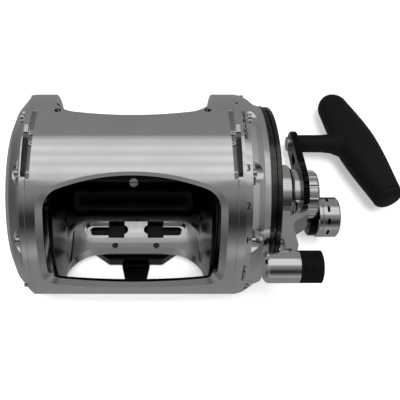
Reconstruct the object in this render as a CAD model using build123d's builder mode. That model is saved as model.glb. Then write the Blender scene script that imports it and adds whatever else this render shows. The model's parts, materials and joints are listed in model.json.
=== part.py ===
"""Two-speed lever drag trolling reel, built as it comes apart on a bench.

Frame of the model, in millimetres: +X along the spool axis to the crank side, -Y towards the angler,
+Y towards the rod tip and +Z up. The origin is the middle of the reel foot's underside, where it
sits on the rod.

Angles round the spool axis are clock angles: 0 is level towards the angler (-Y), 90 is straight up
and 180 is level towards the rod tip (+Y). A (x, radius) pair is a point of a turned outline.
"""

from build123d import *
from math import acos, cos, pi, radians, sin, sqrt, tan
import os

# ---- Overall sizes -------------------------------------------------------------------------------
axis_height = 83.0        # spool axis above the underside of the foot
ring_radius = 70.0        # outside of the frame and of both side plates
shell = 6.0               # wall of the frame
seam = 0.35               # broken edge on each side of the seam between frame and plate
frame_half = 64.5         # frame, from its middle to each side plate
running = 0.05            # radial clearance of a running fit
slip = 0.10               # clearance between pieces that only sit in each other
fine = 0.3                # air between pieces that pass each other
bore_radius = ring_radius - shell

# ---- Windows of the frame: clock angles of their edges in the middle -----------------------------
rear_low, rear_high = 1.3, 67.1
rear_half = 54.5
rear_arch_low, rear_arch_high = 260.0, 146.0
rear_corner_low, rear_corner_high = 10.0, 13.0
rear_bevel = 3.9
under_low, under_high = -78.0, -33.0
under_half, under_corner = 52.0, 25.0
front_top, front_bottom = 105.0, 256.0
front_half, front_taper = 53.6, 5.0   # the window narrows towards the top bar
front_arch_top, front_corner_top, front_corner_bottom = 200.0, 17.0, 20.0
straight = 2000.0         # radius of an end that is all but straight

# ---- Harness lug pockets, milled across the seams ------------------------------------------------
pocket_clock = 87.5
pocket_floor = 65.2       # from the spool axis
pocket_wide, pocket_narrow = 3.9, 2.6     # in the frame, at its upper and lower ends
slot_width = 2.7          # in the side plate
slot_low, slot_high = -25.6, 13.0
liner_length, liner_height = 29.0, 2.3
lug_length, lug_height = 6.5, 3.9
lug_screw_radius, lug_screw_head = 0.9, 1.5
harness_hole_x, harness_hole_clock, harness_hole_radius = 48.0, 109.3, 2.2

# ---- Side plates ---------------------------------------------------------------------------------
plate_screws = 10
plate_screw_first = 34.0  # clock angle of one of them
plate_screw_circle = 66.9
left_seat, right_seat = 68.9, 73.4        # X of the flat under the screw heads
scallop_radius, scallop_circle = 9.4, 73.6
screw_thread, screw_head, head_height = 1.5, 2.6, 2.4
screw_reach = 5.0         # thread inside the frame
cavity_radius = 60.5
spigot_length = 3.0
left_face, left_wall = 80.0, 4.0
right_face, right_floor = 85.5, 79.0
face_radius = 62.0        # of the right plate's flat outer face
seal_width, seal_depth = 1.4, 1.2

# ---- Spool and its shaft -------------------------------------------------------------------------
flange_radius = 60.5
flange_outer = 52.2       # X of the outside of each flange
flange_rim = 2.6          # thickness at the rim
arbor_radius = 19.4
arbor_fillet = 16.0
arbor_half = 30.2         # straight stretch of the arbor, each way
arbor_bore = 9.0
shaft_radius, shaft_small_radius = 6.0, 4.5
spool_bearing_radius, spool_bearing_width = 12.0, 6.0
spool_bearing_x = 36.0
shaft_step_x = 44.0
shaft_left, bush_left, bush_right, bush_radius = -70.5, -73.0, -58.0, 8.6
line_screw_clock = 81.5
drag_travel = 0.7         # how far the lever draws the shaft and the spool
drag_gap = 0.8            # air between the drag washer and the drag plate at rest
drag_washer_thickness = 1.4
drag_plate_thickness = 3.0
drag_radius, drag_washer_inner = 53.0, 20.0
washer_x = flange_outer
drag_plate_x = washer_x + drag_washer_thickness + drag_gap

# ---- Gear train ----------------------------------------------------------------------------------
module = 1.0
pressure = radians(20)
high_gear_teeth, high_pinion_teeth = 51, 16
low_gear_teeth, low_pinion_teeth = 38, 29
gear_centre = module * (high_gear_teeth + high_pinion_teeth) / 2
crank_clock = -90.0       # where the crank shaft lies round the spool axis
addendum, dedendum = 0.85 * module, 1.2 * module
backlash = 0.24
gear_width, gear_gap = 5.4, 0.9
low_gear_x = 62.2
high_gear_x = low_gear_x + gear_width + gear_gap
ratchet_x = high_gear_x + gear_width + 1.0
ratchet_width, ratchet_radius, ratchet_teeth, ratchet_depth = 2.4, 14.0, 12, 2.4
bridge_x = 58.2
bridge_end = frame_half - spigot_length
bridge_screw_circle, bridge_screw_radius, bridge_screw_reach = 61.7, 0.9, 5.0
sleeve_bore = shaft_small_radius + fine
sleeve_big_radius, sleeve_radius = 8.0, 5.8
pinion_bearing_radius, end_bearing_radius = 13.0, 10.5
end_bearing_x, end_bearing_width = right_floor, 4.4
crank_radius, crank_bore = 6.0, 4.1
crank_bearing_radius = 11.0
key_width, key_reach = 2.4, 8.4
key_x = high_gear_x + 1.0
pawl_pivot_circle, pawl_tip_circle, pawl_swing = 22.0, 16.9, 38.0
pawl_boss, pawl_tip, pawl_pin_radius, pawl_pin_reach = 3.4, 1.5, 1.6, 3.0

# ---- Drag lever, its housing and the preset knob -------------------------------------------------
quadrant_start, quadrant_end = 14.0, 156.0
quadrant_radius, quadrant_inner = face_radius, 50.0
quadrant_base, quadrant_rail, quadrant_rail_width = 5.8, 1.7, 3.4
quadrant_screw_circle, quadrant_screw_reach = 54.3, 3.5
quadrant_tooth_pitch, quadrant_tooth_depth = 1.6, 0.9   # degrees, millimetres
quadrant_flange, quadrant_band, quadrant_groove = 2.3, 2.8, 59.2  # toothed flange, band, groove radius
quadrant_corner = 5.0
housing_radius, housing_nose_radius, housing_end = 23.4, 20.0, 109.0
cam_radius, cam_nose_radius, cam_start = 12.0, 9.9, 92.0
lever_clock = 24.5        # where the lever points at rest
lever_ring_x, lever_ring_width, lever_ring_radius = 110.4, 4.2, 18.0
lever_width = 13.0
lever_knob_circle, lever_knob_radius = 78.0, 10.0
lever_knob_start, lever_eye_x, lever_knob_split, lever_knob_end = 80.0, 98.2, 101.2, 115.3
lever_knob_bolt = 3.0
lever_face_x = 95.2       # back of the flat stretch above the knob
grip_ribs = 9
preset_x, preset_end, preset_radius, preset_ribs = 118.3, 127.6, 17.0, 14
cap_x, cap_end, cap_radius, cap_lobes = 114.8, 119.0, 23.6, 12

# ---- Crank, gear shift and T-bar -----------------------------------------------------------------
crank_tube_radius, crank_tube_end, crank_tube_bore = 9.4, 111.5, 6.6
tube_bearing_radius, tube_bearing_width = 8.2, 5.0
arm_x, arm_thickness = 129.2, 5.8
arm_length = 84.2
arm_slope = 13.5          # below level, towards the rod tip
arm_hub_radius, arm_tip_radius = 14.0, 10.5
arm_slot_reach, arm_slot_width = (26.0, 66.0), 8.0
spacer_radius = 9.0
collar_radius, collar_end = 15.0, 151.2
collar_slots, collar_slot_width, collar_slot_length, collar_slot_depth = 10, 2.0, 5.0, 3.0
button_radius, button_proud, button_travel, button_inside = 8.0, 0.6, 4.4, 4.2
spindle_radius = 4.0
grip_pin_radius, grip_pin_head, grip_pin_end = 4.0, 5.6, 174.0
grip_bush_radius, grip_nut_radius = 5.5, 6.0
stem_radius, stem_flare = 7.4, 11.0
grip_centre_x = 184.4     # where the grip's own line crosses the stem's
grip_yaw, grip_pitch = 17.3, 3.0
grip_front, grip_rear = 54.0, 61.0        # half lengths, away from and towards the angler

# ---- Foot ----------------------------------------------------------------------------------------
foot_rear_half_x, foot_mid_half_x = 21.0, 36.4
foot_half_y, foot_mid_half_y = 19.5, 8.0
foot_root_height = 6.0    # underside of the pad above the rod
foot_rear_length, foot_front_length = 40.0, 55.0   # towards the angler and the rod tip
foot_root_half, foot_tip_half = 11.0, 6.5
foot_tip_thickness = 2.6
foot_screws = ((16.2, -9.0), (-16.2, -9.0))
foot_screw_thread, foot_screw_head, foot_screw_seat, foot_screw_tip = 1.6, 2.4, 4.2, 7.0
keyhole_inner, keyhole_step, keyhole_outer = 9.2, 22.0, 38.0
keyhole_y, keyhole_wide, keyhole_narrow, keyhole_rim, keyhole_ledge = 5.2, 14.4, 7.6, 12.6, 2.4

# ---- Click switch on the left plate --------------------------------------------------------------
click_clock = 240.0       # low on the left face, towards the rod tip
click_ratchet_radius, click_ratchet_teeth, click_thickness = 30.0, 36, 3.0
click_travel, click_rest = 5.5, 38.7
click_pin_radius, click_button_radius, click_button_height = 3.0, 6.5, 3.4


# ---- Places --------------------------------------------------------------------------------------
def at_clock(radius, clock, centre=(0.0, axis_height)):
    """Y and Z of a point at a clock angle round a centre, which is the spool axis unless given."""
    turn = radians(clock)
    return (centre[0] - radius * cos(turn), centre[1] + radius * sin(turn))


spool_centre = (0.0, axis_height)
crank_centre = at_clock(gear_centre, crank_clock)
grip_post = at_clock(arm_length, 180 + arm_slope, crank_centre)
bridge_screw_points = [at_clock(bridge_screw_circle, clock) for clock in (20, 92, 164, 236, 308)]
quadrant_screw_points = [at_clock(quadrant_screw_circle, clock) for clock in (30, 85, 140)]
pawls = (("rear_pawl", 12.0), ("front_pawl", 192.0))   # name, clock of the pivot
pawl_pivots = [at_clock(pawl_pivot_circle, clock, crank_centre) for _, clock in pawls]


def section(centre=spool_centre):
    """Plane of a turned piece's half outline: X along the axis, Y away from it."""
    return Plane(origin=(0, *centre), x_dir=(1, 0, 0), z_dir=(0, -1, 0))


def across(x, centre=spool_centre):
    """Plane square to the axis at x, drawn in the model's Y and Z."""
    return Plane(origin=(x, *centre), x_dir=(0, 1, 0), z_dir=(1, 0, 0))


def facing(clock, radius=0.0):
    """Plane whose normal points outwards at a clock angle. Its X is the spool axis."""
    turn = radians(clock)
    normal = (0, -cos(turn), sin(turn))
    origin = Vector(0, *spool_centre) + Vector(*normal) * radius
    return Plane(origin=origin, x_dir=(1, 0, 0), z_dir=normal)


def radial_section(clock):
    """Plane through the spool axis: X along it and Y outwards at a clock angle."""
    turn = radians(clock)
    return Plane(origin=(0, *spool_centre), x_dir=(1, 0, 0), z_dir=(0, -sin(turn), -cos(turn)))


# ---- Shapes used by several pieces ---------------------------------------------------------------
def turned(*outline, centre=spool_centre, mode=Mode.ADD):
    """Turns a half outline of (x, radius) points round an axis, in the current part."""
    with BuildSketch(section(centre)) as half:
        with BuildLine():
            Polyline(*outline, close=True)
        make_face()
    revolve(half.sketch, axis=Axis((0, *centre), (1, 0, 0)), mode=mode)


def tube(x0, x1, outer, inner=0.0, centre=spool_centre, mode=Mode.ADD):
    """A plain ring or disc from x0 to x1, in the current part."""
    with BuildSketch(across(x0, centre)) as ring:
        Circle(outer)
        if inner:
            Circle(inner, mode=Mode.SUBTRACT)
    extrude(ring.sketch, amount=x1 - x0, mode=mode)


def screw_group(points, seat, tip, out, thread, head, height):
    """Cap screws along X at (y, z) points: under-head at seat, thread end at tip, head on the out side."""
    for point in points:
        end = seat + out * height
        socket = end - out * 0.6 * height
        tube(min(seat, tip), max(seat, tip), thread, centre=point)
        tube(min(seat, end), max(seat, end), head, centre=point)
        with BuildSketch(across(min(end, socket), point)) as hexagon:
            RegularPolygon(0.55 * head, 6)
        extrude(hexagon.sketch, amount=abs(end - socket), mode=Mode.SUBTRACT)


def save(piece, name):
    """Labels one finished piece and writes it."""
    piece.part.label = name
    export_step(piece.part, f"parts/{name}.step")


def ring_piece(name, x0, x1, outer, inner, centre=spool_centre):
    """A bearing, washer, seal or bush: a plain ring with its edges broken."""
    with BuildPart() as ring:
        tube(x0, x1, outer, inner, centre)
        edge = min(0.3, (outer - inner) / 5, (x1 - x0) / 5)
        chamfer(ring.edges(), edge)
    save(ring, name)


def involute_lag(radius, base):
    """Angle by which an involute has turned at a radius."""
    if radius <= base:
        return 0.0
    slope = acos(base / radius)
    return tan(slope) - slope


def gear(x0, width, teeth, first_tooth, centre, bore):
    """A spur gear in the current part, with a tooth centred on first_tooth degrees from +Y."""
    pitch = module * teeth / 2
    base = pitch * cos(pressure)
    root, tip = pitch - dedendum, pitch + addendum
    start = max(base, root + 0.02)
    half_at_pitch = pi / (2 * teeth) - backlash / (2 * pitch)
    stations = (start, (start + tip) / 2, tip)

    def spot(radius, angle):
        return (radius * cos(angle), radius * sin(angle))

    def half_angle(radius):
        return half_at_pitch + involute_lag(pitch, base) - involute_lag(radius, base)

    with BuildSketch(across(x0, centre)) as face:
        with BuildLine():
            for tooth in range(teeth):
                middle = radians(first_tooth) + 2 * pi * tooth / teeth
                rise = [spot(radius, middle - half_angle(radius)) for radius in stations]
                fall = [spot(radius, middle + half_angle(radius)) for radius in reversed(stations)]
                foot_in = spot(root, middle - half_angle(start))
                foot_out = spot(root, middle + half_angle(start))
                following = spot(root, middle + 2 * pi / teeth - half_angle(start))
                Line(foot_in, rise[0])
                ThreePointArc(*rise)
                Line(rise[2], fall[0])
                ThreePointArc(*fall)
                Line(fall[2], foot_out)
                Line(foot_out, following)
        make_face()
        Circle(bore, mode=Mode.SUBTRACT)
    extrude(face.sketch, amount=width)


def saw_ring(x0, width, radius, depth, teeth, bore, centre):
    """A ratchet wheel in the current part, with saw teeth."""
    outline = []
    for tooth in range(teeth):
        turn = 2 * pi * tooth / teeth
        lead = turn + 0.12 * 2 * pi / teeth
        outline.append(((radius - depth) * cos(turn), (radius - depth) * sin(turn)))
        outline.append((radius * cos(lead), radius * sin(lead)))
    with BuildSketch(across(x0, centre)) as face:
        with BuildLine():
            Polyline(*outline, close=True)
        make_face()
        Circle(bore, mode=Mode.SUBTRACT)
    extrude(face.sketch, amount=width)


def linked_discs(x0, thickness, first, first_radius, second, second_radius):
    """A flat link in the current part: two round ends at (y, z) points and the tangents between them."""
    with BuildSketch(across(x0, (0, 0))) as link:
        with Locations(first):
            Circle(first_radius)
        with Locations(second):
            Circle(second_radius)
        make_hull()
    extrude(link.sketch, amount=thickness)


def plate_screw_points():
    """Y and Z of the side plate screws."""
    clocks = [plate_screw_first + 360 / plate_screws * i for i in range(plate_screws)]
    return [at_clock(plate_screw_circle, clock) for clock in clocks]


def cut_scallops(side, seat):
    """Milled seats for the screw heads, open to the rim, and the screws' holes. side is +1 or -1."""
    with BuildSketch(across(side * seat, (0, 0))) as scallops:
        for i in range(plate_screws):
            clock = plate_screw_first + 360 / plate_screws * i
            with Locations(at_clock(scallop_circle, clock)):
                Circle(scallop_radius)
    extrude(scallops.sketch, amount=side * 14, mode=Mode.SUBTRACT)
    with BuildSketch(across(side * (frame_half - 1), (0, 0))) as holes:
        with Locations(*plate_screw_points()):
            Circle(screw_thread)
    extrude(holes.sketch, amount=side * (seat - frame_half + 2), mode=Mode.SUBTRACT)


# ---- Frame ---------------------------------------------------------------------------------------
def sagitta(arch, half_width):
    return arch - sqrt(arch**2 - half_width**2)


def cut_window(clock, low, high, half_width, arches, corners, taper=0.0):
    """Cuts an opening through the shell, straight along one clock direction.

    low and high are the clock angles of its ends in the middle; each end is an arch. The low end is
    narrower by taper on each side."""
    bottom = ring_radius * sin(radians(low - clock))
    top = ring_radius * sin(radians(high - clock))
    low_half = half_width - taper
    bottom_side = bottom + sagitta(arches[0], low_half)
    top_side = top - sagitta(arches[1], half_width)
    with BuildSketch(facing(clock, 0.55 * ring_radius)) as window:
        with BuildLine():
            ThreePointArc((-low_half, bottom_side), (0, bottom), (low_half, bottom_side))
            Line((low_half, bottom_side), (half_width, top_side))
            ThreePointArc((half_width, top_side), (0, top), (-half_width, top_side))
            Line((-half_width, top_side), (-low_half, bottom_side))
        make_face()
        if corners[0]:
            fillet(window.vertices().sort_by(Axis.Y)[:2], corners[0])
        if corners[1]:
            fillet(window.vertices().sort_by(Axis.Y)[-2:], corners[1])
    extrude(window.sketch, amount=ring_radius, mode=Mode.SUBTRACT)


def cut_sector(low, high, half_width):
    """Opens the shell between two clock angles, with radial walls."""
    reach = 3 * ring_radius
    rim = [at_clock(reach, low + (high - low) * step / 4, (0, 0)) for step in range(5)]
    with BuildSketch(across(-half_width)) as sector:
        with BuildLine():
            Polyline((0, 0), *rim, close=True)
        make_face()
    extrude(sector.sketch, amount=2 * half_width, mode=Mode.SUBTRACT)


def on_outside(edge, part_half):
    """Whether an edge lies on the outside of the shell, away from its two ends."""
    spots = [edge @ share for share in (0, 0.5, 1)]
    height = [sqrt(spot.Y**2 + (spot.Z - axis_height) ** 2) for spot in spots]
    return all(abs(h - ring_radius) < 1e-3 for h in height) and all(abs(s.X) < part_half for s in spots)


def foot_screw_hole(x, y):
    """Counterbored hole from inside the frame's bottom bar."""
    seat_z = axis_height - sqrt(ring_radius**2 - y**2) + foot_screw_seat - 2.4
    with BuildSketch(Plane.XY.offset(seat_z)) as bore:
        with Locations((x, y)):
            Circle(foot_screw_head + slip)
    extrude(bore.sketch, amount=3 * shell, mode=Mode.SUBTRACT)
    with BuildSketch(Plane.XY.offset(seat_z - foot_screw_tip)) as hole:
        with Locations((x, y)):
            Circle(foot_screw_thread)
    extrude(hole.sketch, amount=foot_screw_tip + 1, mode=Mode.SUBTRACT)


def cut_pocket(side):
    """The harness pocket in one end of the frame. Its inner wall leans across the shell."""
    end = side * (frame_half + 1)
    half_length = sqrt(ring_radius**2 - pocket_floor**2) + 1
    with BuildSketch(facing(pocket_clock, pocket_floor)) as pocket:
        with BuildLine():
            Polyline(
                (end, -half_length),
                (side * (frame_half - pocket_narrow), -half_length),
                (side * (frame_half - pocket_wide), half_length),
                (end, half_length),
                close=True,
            )
        make_face()
    extrude(pocket.sketch, amount=10, mode=Mode.SUBTRACT)


def lug_screw_places():
    """(x, height along the pocket) of the small screws in the harness pockets."""
    return [(side * (frame_half - 1.75), height) for side in (-1, 1) for height in (0.0, 8.0)]


os.makedirs("parts", exist_ok=True)

with BuildPart() as frame:
    turned(
        (-frame_half, bore_radius), (-frame_half, ring_radius - seam), (-frame_half + seam, ring_radius),
        (frame_half - seam, ring_radius), (frame_half, ring_radius - seam), (frame_half, bore_radius),
    )
    cut_window((rear_low + rear_high) / 2, rear_low, rear_high, rear_half,
               (rear_arch_low, rear_arch_high), (rear_corner_low, rear_corner_high))
    chamfer([edge for edge in frame.edges() if on_outside(edge, frame_half - 1)], rear_bevel)
    cut_window((under_low + under_high) / 2, under_low, under_high, under_half,
               (straight, straight), (under_corner, under_corner / 2))
    cut_sector(front_top + 24, front_bottom - 24, front_half)
    cut_window(front_top + 15, front_top, front_top + 28, front_half,
               (front_arch_top, straight), (front_corner_top, 0), front_taper)
    cut_window(front_bottom - 15, front_bottom - 28, front_bottom, front_half,
               (straight, straight), (0, front_corner_bottom))
    for side in (-1, 1):
        cut_pocket(side)
        for point in plate_screw_points():
            inner, outer = sorted((side * (frame_half - screw_reach), side * (frame_half + 1)))
            tube(inner, outer, screw_thread, centre=point, mode=Mode.SUBTRACT)
        with BuildSketch(facing(harness_hole_clock, bore_radius - 3)) as harness_hole:
            with Locations((side * harness_hole_x, 0)):
                Circle(harness_hole_radius)
        extrude(harness_hole.sketch, amount=3 * shell, mode=Mode.SUBTRACT)
    for place in lug_screw_places():
        with BuildSketch(facing(pocket_clock, bore_radius - 3)) as lug_hole:
            with Locations(place):
                Circle(lug_screw_radius)
        extrude(lug_hole.sketch, amount=2 * shell, mode=Mode.SUBTRACT)
    for x, y in foot_screws:
        foot_screw_hole(x, y)
    for side in (-1, 1):
        with BuildSketch(Plane.XY) as keyhole:
            with Locations((side * (keyhole_inner + keyhole_step) / 2, keyhole_y)):
                Rectangle(keyhole_step - keyhole_inner, keyhole_wide)
            with Locations((side * (keyhole_inner + keyhole_outer - 4) / 2, keyhole_y)):
                SlotOverall(keyhole_outer - keyhole_inner + 2, keyhole_narrow)
        extrude(keyhole.sketch, amount=axis_height / 2, mode=Mode.SUBTRACT)
        ledge_z = axis_height - bore_radius - keyhole_ledge
        with BuildSketch(Plane.XY.offset(ledge_z)) as ledge:
            with Locations((side * (keyhole_inner + keyhole_outer + 4) / 2, keyhole_y)):
                SlotOverall(keyhole_outer - keyhole_inner + 2, keyhole_rim)
        extrude(ledge.sketch, amount=2 * shell, mode=Mode.SUBTRACT)
save(frame, "frame")


# ---- Side plates, their screws and seals ---------------------------------------------------------
def cut_lug_slot(side):
    """The harness lug's slot in the rim of a side plate, next to the frame."""
    near, far = sorted((side * (frame_half - 1), side * (frame_half + slot_width)))
    with BuildSketch(facing(pocket_clock, pocket_floor)) as slot:
        with Locations(((near + far) / 2, (slot_low + slot_high) / 2)):
            Rectangle(far - near, slot_high - slot_low)
    extrude(slot.sketch, amount=10, mode=Mode.SUBTRACT)


def spigot(side):
    """Outline points of the shoulder that centres a side plate in the frame."""
    return [(side * (frame_half - spigot_length), 0), (side * (frame_half - spigot_length), bore_radius - slip),
            (side * frame_half, bore_radius - slip)]


def cut_seal_groove(side):
    groove_low, groove_high = sorted((side * (frame_half - 0.8), side * (frame_half - 0.8 - seal_width)))
    tube(groove_low, groove_high, bore_radius + 1, bore_radius - seal_depth, mode=Mode.SUBTRACT)


with BuildPart() as left_side_plate:
    turned(
        *spigot(-1), (-frame_half, ring_radius - seam), (-frame_half - seam, ring_radius),
        (-frame_half - 3.5, ring_radius),
        (-frame_half - 5.5, ring_radius - 2), (-frame_half - 11.5, ring_radius - 9),
        (-left_face, ring_radius - 18), (-left_face, 0),
    )
    turned(
        (-bridge_x, 0), (-bridge_x, cavity_radius), (-frame_half - 3, cavity_radius),
        (-frame_half - 8.5, cavity_radius - 7), (-left_face + left_wall, cavity_radius - 15),
        (-left_face + left_wall, 0), mode=Mode.SUBTRACT,
    )
    cut_seal_groove(-1)
    tube(-left_face + left_wall - 1, -60.0, bush_radius + 3.5)
    tube(bush_left, -59.0, bush_radius, mode=Mode.SUBTRACT)
    cut_scallops(-1, left_seat)
    cut_lug_slot(-1)
    click_low = at_clock(click_rest - click_travel, click_clock, (0, 0))
    click_high = at_clock(click_rest, click_clock, (0, 0))
    with BuildSketch(across(-left_face - 1)) as click_slot:
        with Locations(((click_low[0] + click_high[0]) / 2, (click_low[1] + click_high[1]) / 2)):
            SlotCenterToCenter(click_travel, 2 * (click_pin_radius + fine), rotation=180 - click_clock)
    extrude(amount=left_wall + 2, mode=Mode.SUBTRACT)
save(left_side_plate, "left_side_plate")

with BuildPart() as right_side_plate:
    turned(
        *spigot(1), (frame_half, ring_radius - seam), (frame_half + seam, ring_radius), (69.2, ring_radius),
        (73.4, ring_radius - 1),
        (77.5, ring_radius - 3.3), (81.8, ring_radius - 6.7), (right_face, face_radius), (right_face, 0),
    )
    cut_scallops(1, right_seat)
    turned(
        (bridge_x, 0), (bridge_x, cavity_radius), (right_floor, cavity_radius),
        (right_floor, end_bearing_radius), (end_bearing_x + end_bearing_width, end_bearing_radius),
        (end_bearing_x + end_bearing_width, sleeve_radius + 1), (right_face + 1, sleeve_radius + 1),
        (right_face + 1, 0), mode=Mode.SUBTRACT,
    )
    cut_seal_groove(1)
    cut_lug_slot(1)
    tube((right_floor + right_face) / 2, crank_tube_end, crank_tube_radius, centre=crank_centre)
    turned(
        (right_floor - 1, 0), (right_floor - 1, crank_tube_bore),
        (crank_tube_end - tube_bearing_width, crank_tube_bore),
        (crank_tube_end - tube_bearing_width, tube_bearing_radius), (crank_tube_end + 1, tube_bearing_radius),
        (crank_tube_end + 1, 0), centre=crank_centre, mode=Mode.SUBTRACT,
    )
    for point in bridge_screw_points:
        tube(bridge_end - 1, bridge_end + bridge_screw_reach, bridge_screw_radius, centre=point,
             mode=Mode.SUBTRACT)
    for point in quadrant_screw_points:
        tube(right_face - quadrant_screw_reach, right_face + 1, screw_thread, centre=point,
             mode=Mode.SUBTRACT)
    for point in pawl_pivots:
        tube(right_floor - 1, right_floor + pawl_pin_reach, pawl_pin_radius, centre=point,
             mode=Mode.SUBTRACT)
    with BuildSketch(facing(117.0, cavity_radius + 2)) as drain:
        with Locations((67.6, 0)):
            Circle(1.0)
    extrude(amount=10, mode=Mode.SUBTRACT)
save(right_side_plate, "right_side_plate")

for side, seat, name in ((-1, left_seat, "left_plate_screws"), (1, right_seat, "right_plate_screws")):
    with BuildPart() as plate_screw_set:
        screw_group(plate_screw_points(), side * seat, side * (frame_half - screw_reach + 0.5), side,
                    screw_thread, screw_head, head_height)
    save(plate_screw_set, name)

for side, name in ((-1, "left_plate_seal"), (1, "right_plate_seal")):
    seal_low, seal_high = sorted((side * (frame_half - 0.8), side * (frame_half - 0.8 - seal_width)))
    ring_piece(name, seal_low, seal_high, bore_radius, bore_radius - seal_depth)


# ---- Harness lugs --------------------------------------------------------------------------------
def lug_block(low, high, height, name):
    """A block in each harness slot, standing on the pocket's floor."""
    with BuildPart() as block:
        for side in (-1, 1):
            x0, x1 = sorted((side * (frame_half + slip), side * (frame_half + slot_width)))
            with BuildSketch(facing(pocket_clock, pocket_floor)) as face:
                with Locations(((x0 + x1) / 2, (low + high) / 2)):
                    Rectangle(x1 - x0, high - low)
            extrude(face.sketch, amount=height)
        across_edges = [edge for edge in block.edges().filter_by(Axis.X)]
        outer_edges = sorted(across_edges, key=lambda edge: -(edge.center() - Vector(0, *spool_centre)).length)
        fillet(outer_edges[:2], 0.8)
        for point in plate_screw_points():
            tube(-frame_half - slot_width, frame_half + slot_width, screw_thread + slip, centre=point,
                 mode=Mode.SUBTRACT)
    save(block, name)


lug_block(slot_low + 3, slot_low + liner_length, liner_height, "harness_lug_liners")
lug_block(slot_high - lug_length, slot_high, lug_height, "harness_lugs")

with BuildPart() as lug_screws:
    for place in lug_screw_places():
        with BuildSketch(facing(pocket_clock, bore_radius)) as lug_thread:
            with Locations(place):
                Circle(lug_screw_radius)
        extrude(lug_thread.sketch, amount=pocket_floor - bore_radius)
        with BuildSketch(facing(pocket_clock, pocket_floor)) as lug_head:
            with Locations(place):
                Circle(lug_screw_head)
                RegularPolygon(0.5 * lug_screw_head, 6, mode=Mode.SUBTRACT)
        extrude(lug_head.sketch, amount=0.9)
save(lug_screws, "harness_lug_screws")

# ---- Foot ----------------------------------------------------------------------------------------
with BuildPart() as reel_foot:
    foot_side = (
        (-foot_rear_length, 0), (-foot_rear_length, foot_tip_thickness),
        (-foot_half_y, foot_root_height), (foot_half_y, foot_root_height),
        (foot_front_length, foot_tip_thickness), (foot_front_length, 0),
    )
    with BuildSketch(Plane.YZ.offset(-foot_root_half)) as foot_profile:
        with BuildLine():
            Polyline(*foot_side, close=True)
        make_face()
    extrude(amount=2 * foot_root_half)
    with BuildSketch(Plane.XY) as foot_plan:
        with BuildLine():
            Polyline(
                (-foot_tip_half, -foot_rear_length), (foot_tip_half, -foot_rear_length),
                (foot_root_half, -foot_half_y), (foot_root_half, foot_half_y),
                (foot_tip_half, foot_front_length), (-foot_tip_half, foot_front_length),
                (-foot_root_half, foot_half_y), (-foot_root_half, -foot_half_y), close=True,
            )
        make_face()
        fillet(foot_plan.vertices().group_by(Axis.Y)[0], 0.8 * foot_tip_half)
        fillet(foot_plan.vertices().group_by(Axis.Y)[-1], 0.8 * foot_tip_half)
    extrude(amount=foot_root_height, mode=Mode.INTERSECT)
    with BuildSketch(Plane.XY.offset(foot_root_height)) as pad_plan:
        with BuildLine():
            Polyline(
                (-foot_rear_half_x, -foot_half_y), (foot_rear_half_x, -foot_half_y),
                (foot_mid_half_x, -foot_mid_half_y), (foot_mid_half_x, foot_mid_half_y),
                (foot_rear_half_x, foot_half_y), (-foot_rear_half_x, foot_half_y),
                (-foot_mid_half_x, foot_mid_half_y), (-foot_mid_half_x, -foot_mid_half_y), close=True,
            )
        make_face()
        fillet(pad_plan.vertices(), 3)
    extrude(amount=2 * foot_root_height)
    tube(-2 * foot_mid_half_x, 2 * foot_mid_half_x, ring_radius, mode=Mode.SUBTRACT)
    for x, y in foot_screws:
        hole_top = axis_height - sqrt(ring_radius**2 - y**2) + foot_screw_seat - 2.4
        with BuildSketch(Plane.XY.offset(hole_top - foot_screw_tip)) as foot_hole:
            with Locations((x, y)):
                Circle(foot_screw_thread)
        extrude(amount=2 * foot_screw_tip, mode=Mode.SUBTRACT)
save(reel_foot, "reel_foot")

with BuildPart() as foot_screw_set:
    for x, y in foot_screws:
        seat_z = axis_height - sqrt(ring_radius**2 - y**2) + foot_screw_seat - 2.4
        with BuildSketch(Plane.XY.offset(seat_z - foot_screw_tip)) as foot_thread:
            with Locations((x, y)):
                Circle(foot_screw_thread)
        extrude(amount=foot_screw_tip)
        with BuildSketch(Plane.XY.offset(seat_z)) as foot_head:
            with Locations((x, y)):
                Circle(foot_screw_head)
        extrude(amount=2.2)
        with BuildSketch(Plane.XY.offset(seat_z + 0.8)) as foot_socket:
            with Locations((x, y)):
                RegularPolygon(0.55 * foot_screw_head, 6)
        extrude(amount=2, mode=Mode.SUBTRACT)
save(foot_screw_set, "foot_screws")

# ---- Gear bridge and the fixed bearings ----------------------------------------------------------
with BuildPart() as gear_bridge:
    tube(bridge_x, bridge_end, bore_radius - slip)
    tube(bridge_x, bridge_end, pinion_bearing_radius, mode=Mode.SUBTRACT)
    tube(bridge_x, bridge_end, crank_bearing_radius, centre=crank_centre, mode=Mode.SUBTRACT)
    for clock in (0, 45, 90, 135, 180):
        tube(bridge_x, bridge_end, 11, centre=at_clock(36, clock), mode=Mode.SUBTRACT)
    for point in bridge_screw_points:
        tube(bridge_x, bridge_end, bridge_screw_radius, centre=point, mode=Mode.SUBTRACT)
save(gear_bridge, "gear_bridge")

ring_piece("pinion_bearing", bridge_x, bridge_end, pinion_bearing_radius, sleeve_big_radius + running)
ring_piece("crank_inner_bearing", bridge_x, bridge_end, crank_bearing_radius, crank_radius + running,
           crank_centre)
ring_piece("pinion_end_bearing", end_bearing_x, end_bearing_x + end_bearing_width, end_bearing_radius,
           sleeve_radius + running)
ring_piece("crank_outer_bearing", crank_tube_end - tube_bearing_width, crank_tube_end,
           tube_bearing_radius, crank_radius + running, crank_centre)
ring_piece("shaft_bush", bush_left, bush_right, bush_radius, shaft_radius + running)

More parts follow.
